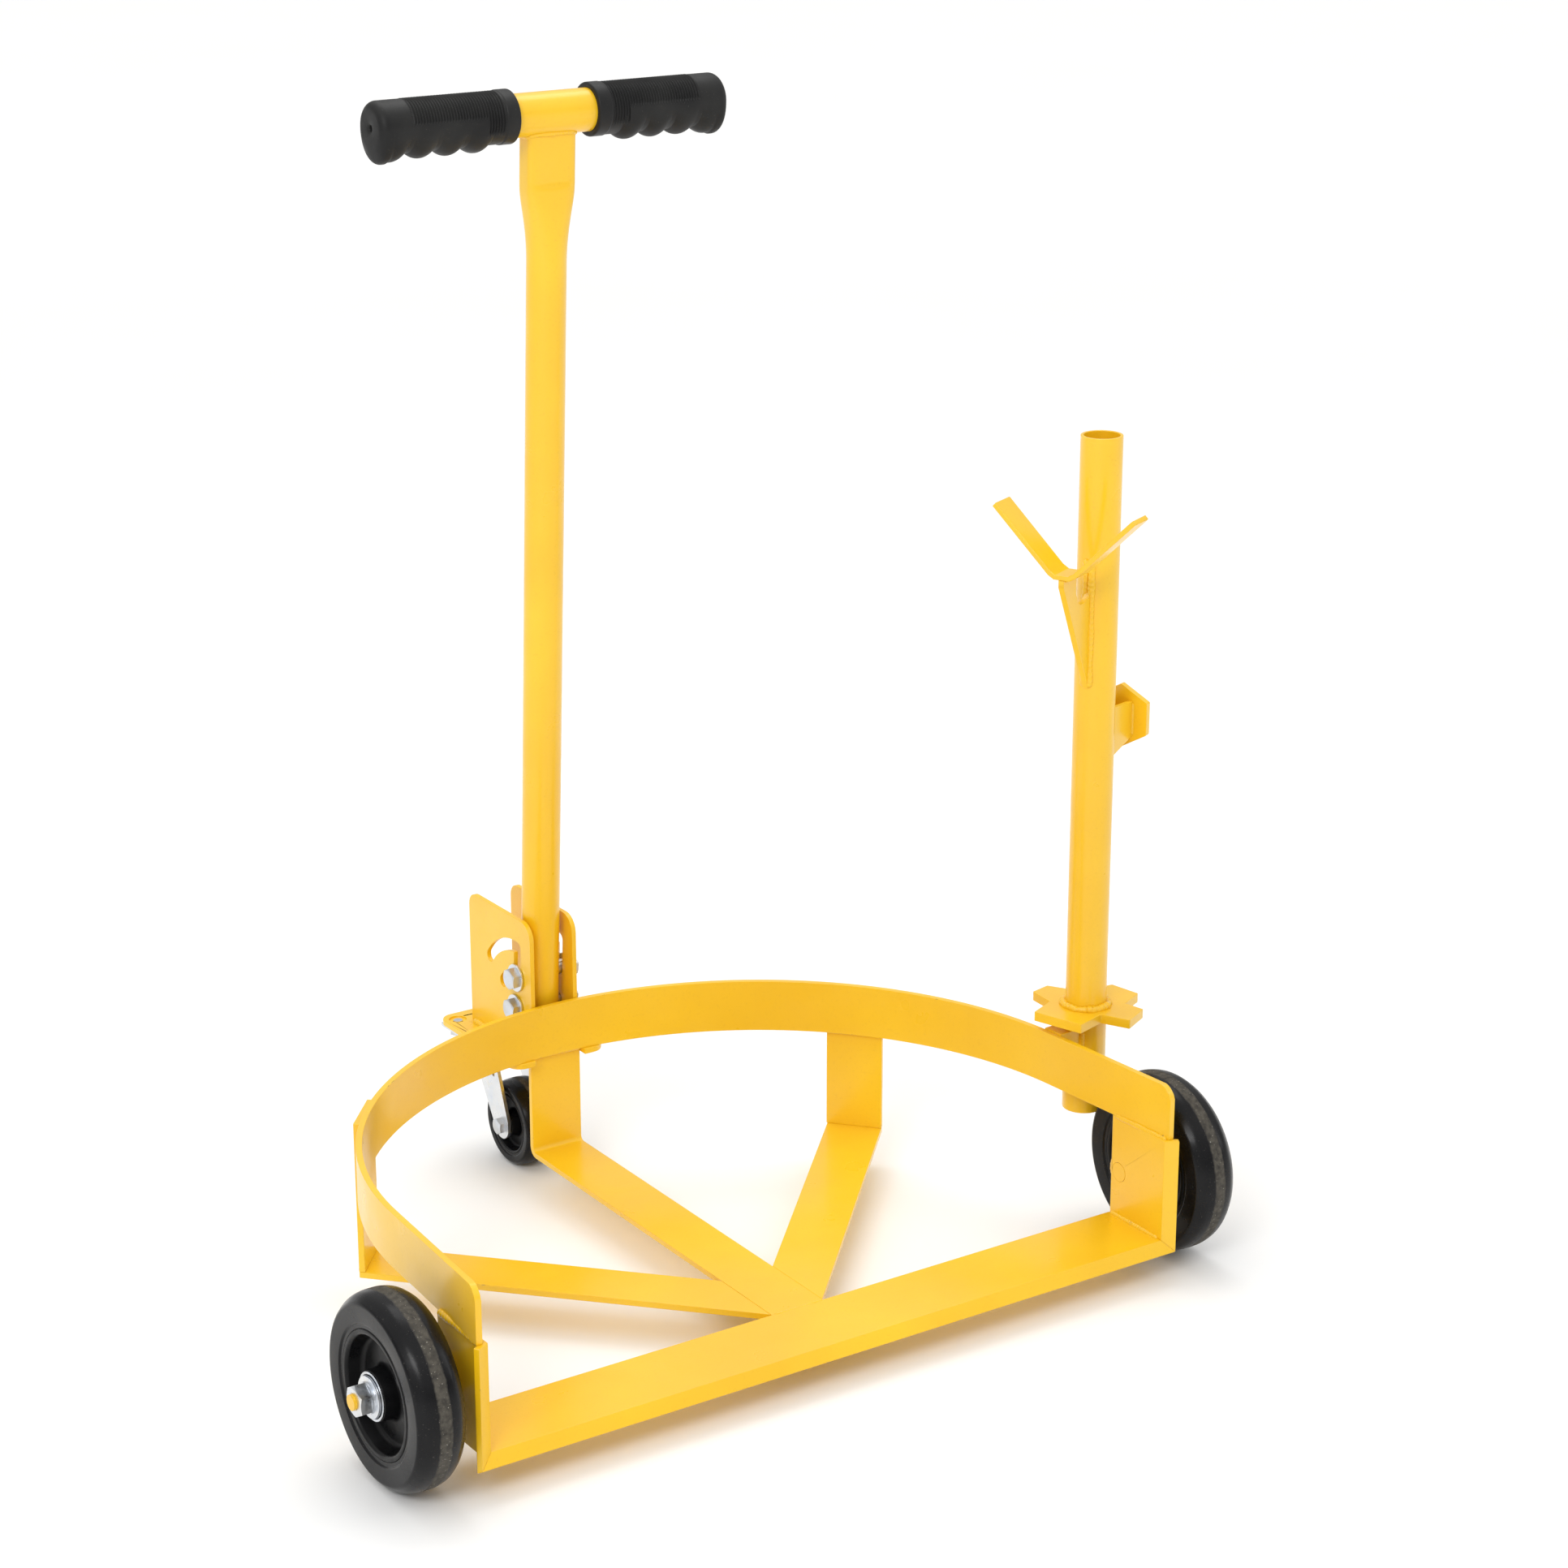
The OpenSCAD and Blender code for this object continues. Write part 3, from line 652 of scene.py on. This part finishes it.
def make_axle_fasteners(side):
    """Outside each wheel: the flat washer, a split spring washer and a chamfered nut."""
    out = X * (1 if side == "right" else -1)
    low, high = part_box(f"{side}_axle_washer")
    seat = Vector((low.x if side == "right" else high.x, wheels[side].y, wheels[side].z))
    washer_thick, spring_thick, nut_rise = 2.5 * MM, 2.3 * MM, 4.9 * MM
    washer_bore, bore = 6.05 * MM, 6.1 * MM
    washer = disc(seat, out, 16 * MM, washer_bore, washer_thick, 0.5 * MM)
    made = piece(f"{side}_axle_flat_washer", "frame", zinc_plate, "zinc_plate", *washer)
    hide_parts(f"{side}_axle_washer")
    spring = split_ring(seat + out * washer_thick, out, 12 * MM, bore, spring_thick)
    nut = hex_block(seat + out * nut_rise, out, 22 * MM, 9.4 * MM, bore)
    made = piece(f"{side}_axle_nut_set", "frame", zinc_plate, "zinc_plate", *joined(spring, nut), sharp=28)
    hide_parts(f"{side}_axle_nut")


def split_ring(start, out, radius, bore, thick):
    """A spring washer: a flat ring cut through once, its ends a little apart."""
    side = out.cross(Z).normalized()
    up = side.cross(out)
    first, gap, lift = math.radians(200), math.radians(9), 0.25 * MM
    rings = []
    count = 60
    for i in range(count + 1):
        a = first + (math.tau - gap) * i / count
        ray = up * math.cos(a) + side * math.sin(a)
        low = start + out * (lift * i / count)
        high = low + out * thick
        rings.append([low + ray * bore, low + ray * radius, high + ray * radius, high + ray * bore])
    return skin(rings)


# ---------- caster ----------


def make_caster_wheel():
    """The caster's moulded tyre and the wheel core inside it."""
    tyre = both_sides(rounded([
        (26.6, -12, 0), (26.6, -14.4, 0.5), (28.4, -14.4, 0.4), (29.2, -15.2, 0.5), (33.8, -15.6, 0.8),
        (35.2, -14.8, 0.9), (37.3, -10.4, 3), (38, -4, 3), (38, -0.5, 0),
    ]))  # fmt: skip
    shape = turned(caster_axle, tyre)
    made = piece("caster_tyre_moulded", "caster_wheel", caster_rubber, "tyre_rubber", *shape, sharp=50)
    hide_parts("caster_tyre")
    core = both_sides(rounded([
        (6.6, -16, 0), (7.1, -16.5, 0.3), (10.6, -16.5, 0.7), (12, -6.6, 2.0), (22.8, -6, 2.4),
        (24, -13.6, 0.8), (25, -14.6, 0.8), (26.4, -14.6, 0.5), (26.8, -13, 0.3), (26.8, -5, 0),
    ]))  # fmt: skip
    shape = turned(caster_axle, core)
    made = piece("caster_core_moulded", "caster_wheel", wheel_plastic, "wheel_core", *shape, sharp=50)
    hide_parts("caster_wheel_core")


def make_caster_axle():
    """The caster's axle: chamfered head, shank, nut and a threaded tip."""
    low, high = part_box("caster_axle_bolt")
    width, head_height, radius = 13 * MM, 5.3 * MM, 4 * MM
    shank_long, thread_from, pitch = 42.5 * MM, 41 * MM, 1.25 * MM
    seat = Vector((low.x + head_height, caster_axle.y, caster_axle.z))
    head = hex_block(seat, -X, width, head_height)
    shank = disc(seat, X, radius, 0.5 * MM, shank_long, 0.1 * MM, 40)
    tip = threaded(seat + X * thread_from, X, radius, high.x - seat.x - thread_from, pitch)
    made = piece("caster_axle_hex_bolt", "caster_yoke", zinc_bolt, "zinc_plate", *joined(head, shank, tip))
    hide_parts("caster_axle_bolt")
    seat = Vector((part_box("caster_axle_nut")[0].x, caster_axle.y, caster_axle.z))
    nut = hex_block(seat, X, width, 6.5 * MM, 4.05 * MM)
    made = piece("caster_axle_hex_nut", "caster_yoke", zinc_bolt, "zinc_plate", *nut, sharp=28)
    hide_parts("caster_axle_nut")


# ---------- handle ----------


def neck_ring(rise, half_wide, half_deep, power, dent):
    """One ring round the handle tube, from round (power 2) to flattened (power over 2).

    dent pushes the middle of the front and back faces in."""
    count = 96
    ring = []
    for i in range(count):
        a = math.tau * i / count
        c, s = math.cos(a), math.sin(a)
        x = half_wide * math.copysign(abs(c) ** (2 / power), c)
        y = half_deep * math.copysign(abs(s) ** (2 / power), s)
        hollow = dent * math.exp(-((x / (half_wide * 0.42)) ** 2)) * (1 if abs(s) > 0.3 else 0)
        y -= math.copysign(min(hollow, abs(y)), y)
        ring.append(handle_frame @ Vector((x, y, rise)))
    return ring


def smooth(t):
    """A soft step from 0 to 1 as t goes from 0 to 1."""
    t = min(1.0, max(0.0, t))
    return t * t * (3 - 2 * t)


def make_handle_tube():
    """The tube, round below and pressed flat at the top, with the crease where the press stopped."""
    round_r, pressed_r, wall = 16 * MM, 21.5 * MM, 2 * MM
    foot, top = -40 * MM, cross_rise - 9 * MM
    flat_from, round_to = cross_rise - 58 * MM, cross_rise - 118 * MM
    rises = [foot + (round_to - foot) * i / 40 for i in range(40)]
    rises += [round_to + (flat_from - round_to) * i / 36 for i in range(36)]
    rises += [flat_from + (top - flat_from) * i / 26 for i in range(27)]
    outside, inside = [], []
    for rise in rises:
        t = (rise - round_to) / (flat_from - round_to)
        pressed = min(1.0, max(0.0, t))
        crease = smooth((rise - flat_from) / (5 * MM))
        wide = round_r + (pressed_r - round_r) * smooth(0.62 * t + 0.38 * max(0, t) ** 3)
        deep = round_r - 5.0 * MM * pressed**1.5 - 1.3 * MM * crease
        power = 2 + 2.6 * pressed**2 + 1.6 * crease
        dent = 1.1 * MM * crease * smooth((top - rise) / (60 * MM) + 0.15)
        outside.append(neck_ring(rise, wide, deep, power, dent))
        inside.append(neck_ring(rise, wide - wall, deep - wall, power, dent))
    shape = skin(outside + inside[::-1], closed=True)
    made = piece("handle_tube_pressed", "handle", paint, "frame_paint", *shape, sharp=40)
    cut_foot(made)
    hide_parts("handle_tube")


def prism(outline, half_width):
    """A prism across the handle from an outline of (y, z) in the handle's own frame."""
    near = [handle_frame @ Vector((-half_width, y, z)) for y, z in outline]
    far = [handle_frame @ Vector((half_width, y, z)) for y, z in outline]
    return skin([near, far])


def cut_foot(tube):
    """Cuts the open pivot slot, the slanted end and the lock bolt's hole, as on the CAD tube."""
    half, hole_radius = 5.4 * MM, 5 * MM
    arc = [(half * math.cos(a), half * math.sin(a)) for a in (math.pi * i / 12 for i in range(13))]
    slot = prism(arc + [(-half, -45 * MM), (half, -45 * MM)], 30 * MM)
    heel = [(-30, -45), (-30, -7.3), (3, -32.5), (30, -32.5), (30, -45)]
    heel = prism([(y * MM, z * MM) for y, z in heel], 29 * MM)
    turns = [math.tau * i / 40 for i in range(40)]
    rim = [(hole_radius * math.cos(a), bolt_rise + hole_radius * math.sin(a)) for a in turns]
    hole = prism(rim, 28 * MM)
    cutters = []
    for name, (faces, points) in (("slot", slot), ("heel", heel), ("hole", hole)):
        mesh = bpy.data.meshes.new(name)
        mesh.from_pydata([tuple(p) for p in points], [], faces)
        cutter = placed(name, mesh)
        tidy_normals(cutter, 30)
        cut = tube.modifiers.new(name, "BOOLEAN")
        cut.operation = "DIFFERENCE"
        cut.solver = "EXACT"
        cut.object = cutter
        cutters.append(cutter)
    bpy.context.view_layer.update()
    ready = tube.evaluated_get(bpy.context.evaluated_depsgraph_get())
    mesh = bpy.data.meshes.new_from_object(ready)
    tube.modifiers.clear()
    tube.data = mesh
    for cutter in cutters:
        bpy.data.objects.remove(cutter)
    mesh.shade_smooth()
    mesh.set_sharp_from_angle(angle=math.radians(40))


GRIP_RADIUS, GRIP_INNER, GRIP_OUTER = 20.5 * MM, 35 * MM, 155 * MM
INNER_ROUND, OUTER_ROUND = 1.6 * MM, 7 * MM
RIB_FROM, RIB_TO, RIB_PITCH = 48 * MM, 129 * MM, 2.45 * MM
LOBES = [(68 * MM, 12.5 * MM), (92 * MM, 12.5 * MM), (116 * MM, 12.5 * MM), (141.5 * MM, 13.6 * MM)]
LOBE_DROP = 13 * MM


def grip_reach(u, a):
    """Distance from a grip's axis to its rubber, at station u and a radians round from straight up."""
    collar = 0.7 * MM * smooth((47 * MM - u) / (1.2 * MM))
    start = max(0.0, 1 - (u - GRIP_INNER) / INNER_ROUND)
    end = max(0.0, (u - (GRIP_OUTER - OUTER_ROUND)) / OUTER_ROUND)
    base = GRIP_RADIUS + collar
    base -= INNER_ROUND * (1 - math.sqrt(max(0.0, 1 - start * start)))
    base -= OUTER_ROUND * (1 - math.sqrt(max(0.0, 1 - end * end)))
    bump = smooth((u - 140 * MM) / (6 * MM)) * 7.2 * MM * (1 - 0.5 * end**3)
    for lobe_u, size in LOBES:
        inside = size * size - (u - lobe_u) ** 2
        if inside > 0:
            bump = max(bump, LOBE_DROP + math.sqrt(inside) - GRIP_RADIUS)
    bump *= 1 - 0.75 * max(0.0, (u - (GRIP_OUTER - 3 * MM)) / (3 * MM)) ** 2
    down = max(0.0, -math.cos(a)) ** 1.6
    rib = 0.0
    if RIB_FROM < u < RIB_TO:
        ridge = max(0.0, math.sin(math.tau * (u - RIB_FROM) / RIB_PITCH)) ** 0.7
        half = math.radians(118 if u < RIB_FROM + 6 * RIB_PITCH else 82)
        fade = smooth((half - abs(a)) / math.radians(6)) * smooth((RIB_TO - u) / RIB_PITCH)
        rib = 1.15 * MM * (ridge - 0.75) * fade
    return base + bump * down + rib


def grip_ring(out, u, radius=None):
    """Points round a grip at station u, on the rubber's moulded shape or at a plain radius."""
    count = 120
    ring = []
    for i in range(count):
        a = math.remainder(math.tau * i / count, math.tau)
        r = grip_reach(u, a) if radius is None else radius
        ring.append(handle_frame @ Vector((out * u, r * math.sin(a), cross_rise + r * math.cos(a))))
    return ring


def make_grip(side):
    """A moulded rubber grip: ribbed over the top, finger bumps and an end guard below."""
    out = 1 if side == "right" else -1
    stations = [GRIP_INNER + 0.25 * MM * i for i in range(8)]
    u = stations[-1]
    while u < RIB_TO + 2 * MM:
        u += RIB_PITCH / 6
        stations.append(u)
    while u < GRIP_OUTER - 7.5 * MM:
        u += 1.0 * MM
        stations.append(u)
    stations += [u + (GRIP_OUTER - u) * math.sin(math.pi / 2 * i / 14) for i in range(1, 15)]
    air_hole, air_hole_end = 2.5 * MM, GRIP_OUTER - 4.6 * MM
    bore = cross_radius + 0.05 * MM
    plain = [
        (GRIP_OUTER + 0.1 * MM, 9 * MM), (GRIP_OUTER, 5 * MM), (GRIP_OUTER - 0.5 * MM, 3.2 * MM),
        (GRIP_OUTER - 1.2 * MM, air_hole), (air_hole_end, air_hole), (air_hole_end, bore),
        (GRIP_INNER, bore), (GRIP_INNER - 0.1 * MM, GRIP_RADIUS - 1.6 * MM),
    ]  # fmt: skip
    rings = [grip_ring(out, u) for u in stations] + [grip_ring(out, u, r) for u, r in plain]
    shape = skin(rings, closed=True)
    made = piece(f"{side}_grip_moulded", "handle", grip_rubber, "grip_rubber", *shape, sharp=55)
    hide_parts(f"{side}_grip")


def make_cross_bolt(name, rise, body):
    """One M10 bolt through the bracket: head, washers either side, nut and thread."""
    face, washer_thick = 22.9 * MM, 2 * MM
    width, radius, pitch = 17 * MM, 5 * MM, 1.5 * MM
    place = handle_frame @ Vector((0, 0, rise))
    head_seat = place - X * (face + washer_thick)
    head = hex_block(head_seat, -X, width, 6.4 * MM, up=handle_up)
    collar = disc(head_seat, -X, 8.2 * MM, 1 * MM, 0.5 * MM, 0.1 * MM)
    shank = disc(head_seat, X, radius, 0.5 * MM, 2 * face + 6 * MM, 0.1 * MM, 48)
    tip = threaded(head_seat + X * (2 * face + 3.5 * MM), X, radius, 11.5 * MM, pitch)
    shape = joined(head, collar, shank, tip)
    made = piece(f"{name}_hex_bolt", body, zinc_bolt, "zinc_plate", *shape, sharp=28)
    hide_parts(f"{name}_bolt")
    flats = [disc(place + X * out * face, X * out, 12 * MM, 5.05 * MM, washer_thick) for out in (-1, 1)]
    made = piece(f"{name}_flat_washers", body, zinc_plate, "zinc_plate", *joined(*flats))
    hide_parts(f"{name}_washers")
    nut = hex_block(place + X * (face + washer_thick), X, width, 8.4 * MM, radius, up=handle_up)
    made = piece(f"{name}_hex_nut", body, zinc_bolt, "zinc_plate", *nut, sharp=28)
    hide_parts(f"{name}_nut")


# ---------- weld beads ----------


def ring_arc(radius, start, end, z):
    """Points along the ring, with angles in degrees from straight ahead (+Y), clockwise from above."""
    steps = 40
    made = []
    for i in range(steps + 1):
        a = math.radians(start + (end - start) * i / steps)
        made.append(ring_centre + Vector((radius * math.sin(a), radius * math.cos(a), z)))
    return made


def weld(name, body, *beads, replaces=()):
    """Painted weld beads as one piece on a body, in place of the nodes it replaces."""
    made = piece(name, body, bead_paint, "frame_paint", *joined(*beads), sharp=70)
    if replaces:
        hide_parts(*replaces)


def side_plate_beads():
    """Three beads on each side plate: at the deck, and inside and outside of the band's end."""
    for side, sign in (("left", -1), ("right", 1)):
        x = mid_x + sign * web_x
        seed = 11 if sign > 0 else 29
        ends = [(x, mouth_y - 2 * MM, deck_top), (x, bend_y + 3 * MM, deck_top)]
        low = seam(ends, 2.6 * MM, seed)
        back_x, front_x = x + sign * 0.3 * MM, x + sign * 3.6 * MM
        ends = [(back_x, mouth_y - 3 * MM, band_bottom), (front_x, bend_y + 1 * MM, band_bottom)]
        top = seam(ends, 2.4 * MM, seed + 1)
        back_x, front_x = x + sign * 5.2 * MM, x + sign * 5.4 * MM
        back_z, front_z = band_bottom + 0.4 * MM, band_bottom + 0.2 * MM
        ends = [(back_x, mouth_y - 4 * MM, back_z), (front_x, bend_y + 1 * MM, front_z)]
        outside = seam(ends, 3.0 * MM, seed + 2, ripple=4 * MM)
        weld(f"{side}_side_plate_welds", "frame", low, top, outside)


def spoke_beads():
    """Beads where the spokes meet at the crossbar and where each one is welded to the band."""
    above_z, below_z = deck_top - 0.9 * MM, deck_top - 5 * MM
    above = seam([(mid_x - 22 * MM, mouth_y, above_z), (mid_x + 24 * MM, mouth_y, above_z)], 1.5 * MM, 41)
    below = seam([(mid_x - 60 * MM, mouth_y, below_z), (mid_x + 60 * MM, mouth_y, below_z)], 2.6 * MM, 42)
    weld("spoke_foot_welds", "frame", above, below)
    half = math.degrees(24 * MM / ring_outer)
    arc = ring_arc(ring_outer, 0.3 - half, half - 0.3, band_bottom)
    weld("center_spoke_weld", "frame", bead(arc, 2.6 * MM, 51))
    for side, sign in (("left", -1), ("right", 1)):
        at = spoke_turn * sign
        arc = ring_arc(ring_inner + 4.4 * MM, at - half, at + half, band_bottom - 0.3 * MM)
        rows = [bead(arc, 1.9 * MM, 60 + sign)]
        for edge in (-1, 1):
            angle = math.radians(at + edge * (half + 0.15))
            ray = Vector((math.sin(angle), math.cos(angle), 0))
            foot = ring_centre + ray * (ring_outer + 0.3 * MM)
            ends = [foot + Z * (band_bottom + 4 * MM), foot + Z * (band_top - 9 * MM)]
            rows.append(seam(ends, 2.2 * MM, 70 + edge + sign))
        weld(f"{side}_spoke_welds", "frame", *rows)


def bracket_beads():
    """Beads at the feet of the bracket plates, and along the base plate's edge on the band."""
    low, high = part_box("bracket_welds")
    rows = []
    for k, x in enumerate((low.x + 4.5 * MM, high.x - 4.5 * MM)):
        ends = [(x, low.y, low.z), (x, high.y, low.z)]
        rows.append(seam(ends, 3.2 * MM, 80 + k, ripple=3.2 * MM))
    weld("bracket_weld_beads", "frame", *rows, replaces=["bracket_welds"])
    turn = math.degrees(math.asin(33 * MM / ring_outer))
    gap_turn = math.degrees(math.asin(25 * MM / ring_outer))
    arcs = [
        bead(ring_arc(ring_outer, start, end, band_bottom), 2.8 * MM, 90 + k, ripple=3 * MM)
        for k, (start, end) in enumerate(((-turn, -gap_turn), (gap_turn, turn), (-gap_turn, gap_turn)))
    ]
    weld("base_plate_welds", "frame", *arcs)


def socket_beads():
    """Beads down both sides of the spacer, on the socket and on the band."""
    low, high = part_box("socket_spacer")
    axis = middle("tool_socket")
    foot, head = low.z + 3 * MM, high.z - 3 * MM
    socket_radius = 17.5 * MM
    rows = []
    for k, y in enumerate((low.y + 1.5 * MM, high.y - 1.5 * MM)):
        on_socket = axis.x - math.sqrt(max(0.0, socket_radius**2 - (y - axis.y) ** 2))
        on_band = low.x + 1.0 * MM
        rows.append(seam([(on_socket, y, foot), (on_socket, y, head)], 2.4 * MM, 100 + k))
        rows.append(seam([(on_band, y, foot), (on_band, y, head)], 2.2 * MM, 104 + k))
    weld("socket_weld_beads", "frame", *rows)


def handle_bead():
    """The bead round the neck where it meets the cross tube."""
    half_wide, half_deep, corner = 21.2 * MM, 9.8 * MM, 0.35
    count = 72
    path = []
    for i in range(count):
        a = math.tau * i / count
        c, s = math.cos(a), math.sin(a)
        x = half_wide * math.copysign(abs(c) ** corner, c)
        y = half_deep * math.copysign(abs(s) ** corner, s)
        z = cross_rise - math.sqrt((cross_radius + 0.2 * MM) ** 2 - y * y)
        path.append(handle_frame @ Vector((x, y, z)))
    weld("handle_neck_weld", "handle", bead(path, 1.9 * MM, 110, closed=True, ripple=3 * MM))


def on_tool(x, y, z):
    """A place given in the bung tool's own frame."""
    return tool_frame @ Vector((x, y, z))


def tool_foot_bead():
    """The lumpy bead round the tool's tube on the star plate."""
    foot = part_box("star_weld")[0].z
    rng = random.Random(7)
    count = 60
    path = []
    for i in range(count):
        a = math.tau * i / count
        r = tool_radius + (1.2 + 0.9 * rng.random()) * MM
        z = foot + (0.6 + 0.9 * rng.random()) * MM
        path.append(on_tool(r * math.cos(a), r * math.sin(a), z))
    ring = bead(path, 3.4 * MM, 120, closed=True, ripple=4.2 * MM)
    weld("star_weld_bead", "bung_tool", ring, replaces=["star_weld"])


def fork_beads():
    """Beads either side of the gusset, down the tube and under the fork strip."""
    low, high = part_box("fork_gusset")
    span = [low.z + 1 * MM, (low.z + high.z) / 2, high.z + 6 * MM]
    faces = (-2.6 * MM, 2.6 * MM)
    rows = []
    for k, y in enumerate(faces):
        x = -math.sqrt(tool_radius**2 - y * y) - 0.2 * MM
        rows.append(bead([on_tool(x, y, z) for z in span], 3.0 * MM, 130 + k, ripple=4.5 * MM))
    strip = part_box("fork_strip")[0].z
    for k, y in enumerate(faces):
        rows.append(bead([on_tool(x * MM, y, strip) for x in (-65, -46)], 1.7 * MM, 134 + k))
    weld("gusset_weld_beads", "bung_tool", *rows)


def hex_rib_beads():
    """Beads at both ends of the two ribs, on the tube and on the hexagonal plate."""
    low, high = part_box("hex_ribs")
    plate_x = 50 * MM
    rows = []
    for k, y in enumerate((-11 * MM, -7 * MM, 7 * MM, 11 * MM)):
        x = math.sqrt(tool_radius**2 - y**2)
        at_tube = [on_tool(x, y, z) for z in (low.z + 3 * MM, high.z - 3 * MM)]
        at_plate = [on_tool(plate_x, y, z) for z in (low.z + 9 * MM, high.z - 5 * MM)]
        rows += [bead(at_tube, 2.0 * MM, 140 + k), bead(at_plate, 1.8 * MM, 150 + k)]
    weld("hex_rib_weld_beads", "bung_tool", *rows)


def axle_beads():
    """The bead round each axle's collar, on the outside of the side plate."""
    collar_radius = 14 * MM
    for side, sign in (("left", -1), ("right", 1)):
        centre = Vector((mid_x + sign * (web_x + 5 * MM), wheels[side].y, wheels[side].z))
        path = [centre + ray * collar_radius for ray in circle(Y, Z, 48)]
        weld(f"{side}_axle_weld", "frame", bead(path, 2.0 * MM, 160 + sign, closed=True))


def make_floor():
    """A wide round floor."""
    count, reach = 96, 30.0
    mesh = bpy.data.meshes.new("floor")
    mesh.from_pydata([tuple(ray * reach) for ray in circle(X, Y, count)], [], [tuple(range(count))])
    floor = placed("floor", mesh)
    mesh.materials.append(pale_floor("pale_floor"))


make_camera()
make_light()
make_floor()
dress_nodes()
for side in wheels:
    make_front_wheel(side)
    make_axle_fasteners(side)
    make_grip(side)
make_caster_wheel()
make_caster_axle()
make_handle_tube()
make_cross_bolt("pivot", 0, "handle_pivot")
make_cross_bolt("lock", bolt_rise, "handle")
side_plate_beads()
spoke_beads()
bracket_beads()
socket_beads()
axle_beads()
handle_bead()
tool_foot_bead()
fork_beads()
hex_rib_beads()
